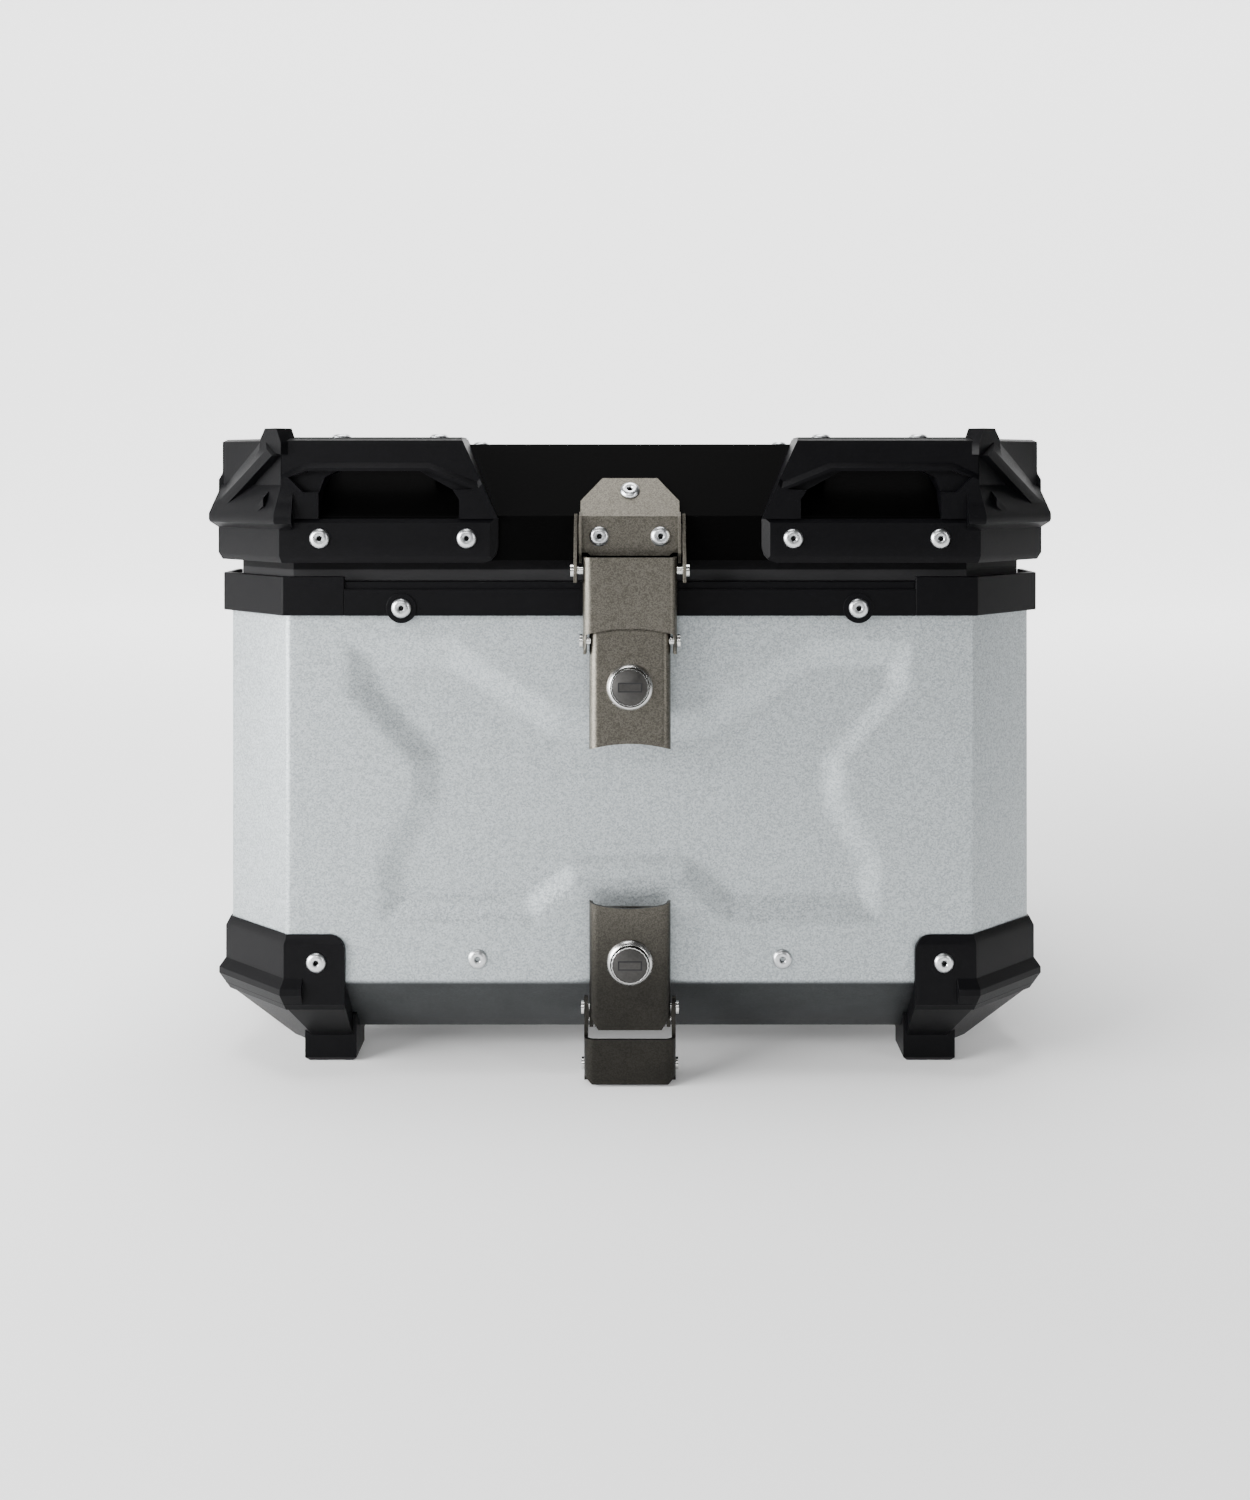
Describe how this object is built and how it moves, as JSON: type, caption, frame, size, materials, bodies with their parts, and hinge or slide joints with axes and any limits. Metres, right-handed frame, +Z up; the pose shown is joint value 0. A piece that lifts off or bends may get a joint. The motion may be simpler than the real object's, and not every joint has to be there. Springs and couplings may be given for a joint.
{
  "type": "motorcycle top case",
  "caption": "Aluminium motorcycle top case with a hinged black lid, corner guards with grips, a locking lid latch and a locking mounting latch.",
  "frame": {"origin": "on the plane of the four feet, at the middle of the object", "axes": "+Z up, +X to the right seen from the latch side, the latch side faces -Y"},
  "size_m": [0.43, 0.3535, 0.319],
  "materials": {
    "silver_sheet": "fine speckled silver anodised sheet",
    "black_sheet": "satin black powder coat on aluminium sheet",
    "moulded_black": "moulded black nylon, fine grain",
    "seal_rubber": "matt",
    "blasted_steel": "bead-blasted stainless",
    "bright_steel": "turned stainless",
    "rivet_alloy": "bright dome blind rivet",
    "lock_dark": "blackened die-cast zinc and steel"
  },
  "bodies": {
    "case": {"tub_shell": "silver_sheet", "floor_mat": "seal_rubber", "corner_protector_front_left": "moulded_black", "corner_protector_front_right": "moulded_black", "corner_protector_rear_left": "moulded_black", "corner_protector_rear_right": "moulded_black", "rim_corner_front_left": "moulded_black", "rim_corner_front_right": "moulded_black", "rim_corner_rear_left": "moulded_black", "rim_corner_rear_right": "moulded_black", "rim_rail_front": "moulded_black", "rim_rail_rear": "moulded_black", "rim_rail_left": "moulded_black", "rim_rail_right": "moulded_black", "body_catch": "blasted_steel", "mount_latch_base": "blasted_steel", "mount_pivot_pin": "bright_steel", "hinge_body_leaf_left": "blasted_steel", "hinge_body_leaf_right": "blasted_steel", "hinge_pin_left": "bright_steel", "hinge_pin_right": "bright_steel", "mount_hook_left": "blasted_steel", "mount_hook_right": "blasted_steel", "hook_rivets": "rivet_alloy", "wall_rivets": "rivet_alloy", "rim_rivets": "rivet_alloy", "latch_base_rivets": "rivet_alloy", "hinge_body_rivets": "rivet_alloy"},
    "lid": {"lid_panel": "black_sheet", "lid_frame": "moulded_black", "lid_gasket": "seal_rubber", "lid_guard_front_left": "moulded_black", "lid_guard_front_right": "moulded_black", "lid_guard_rear_left": "moulded_black", "lid_guard_rear_right": "moulded_black", "latch_yoke": "blasted_steel", "lid_bracket": "blasted_steel", "link_pin": "bright_steel", "hinge_lid_leaf_left": "blasted_steel", "hinge_lid_leaf_right": "blasted_steel", "guard_rivets": "rivet_alloy", "guard_top_rivets": "rivet_alloy", "bracket_rivets": "rivet_alloy", "hinge_lid_rivets": "rivet_alloy"},
    "latch_link": {"latch_link": "blasted_steel", "lever_pin": "bright_steel"},
    "lock_lever": {"lock_lever": "blasted_steel", "lever_nose": "blasted_steel", "upper_lock_ring": "bright_steel", "upper_lock_housing": "lock_dark"},
    "upper_key": {"upper_lock_barrel": "lock_dark", "upper_lock_cam": "lock_dark"},
    "mount_lever": {"mount_lever": "blasted_steel", "lower_lock_ring": "bright_steel", "lower_lock_housing": "lock_dark"},
    "mount_claw": {"mount_claw": "blasted_steel", "claw_pins": "bright_steel", "claw_cross_pin": "bright_steel"},
    "lower_key": {"lower_lock_barrel": "lock_dark", "lower_lock_cam": "lock_dark"}
  },
  "joints": [
    {"name": "lid_hinge", "type": "hinge", "parent": "case", "child": "lid", "pos_m": [0, 0.1736, 0.248], "axis": [-1, 0, 0], "range_deg": [0, 95]},
    {"name": "link_swing", "type": "hinge", "parent": "lid", "child": "latch_link", "pos_m": [0, -0.1651, 0.2497], "axis": [-1, 0, 0], "range_deg": [0, 95]},
    {"name": "lever_flip", "type": "hinge", "parent": "latch_link", "child": "lock_lever", "pos_m": [0, -0.1651, 0.2156], "axis": [-1, 0, 0], "range_deg": [0, 90]},
    {"name": "upper_key_turn", "type": "hinge", "parent": "lock_lever", "child": "upper_key", "pos_m": [0, -0.17161, 0.19386], "axis": [0, -0.9945, 0.1045], "range_deg": [0, 90]},
    {"name": "mount_lever_flip", "type": "hinge", "parent": "case", "child": "mount_lever", "pos_m": [0, -0.1594, 0.031], "axis": [1, 0, 0], "range_deg": [0, 95]},
    {"name": "claw_swing", "type": "hinge", "parent": "mount_lever", "child": "mount_claw", "pos_m": [0, -0.1604, 0.0368], "axis": [1, 0, 0], "range_deg": [-95, 0]},
    {"name": "lower_key_turn", "type": "hinge", "parent": "mount_lever", "child": "lower_key", "pos_m": [0, -0.16848, 0.06044], "axis": [0, -0.9976, -0.0698], "range_deg": [0, 90]}
  ],
  "couplings": [
    {"joint": "claw_swing", "follows": "mount_lever_flip", "ratio": -1}
  ]
}
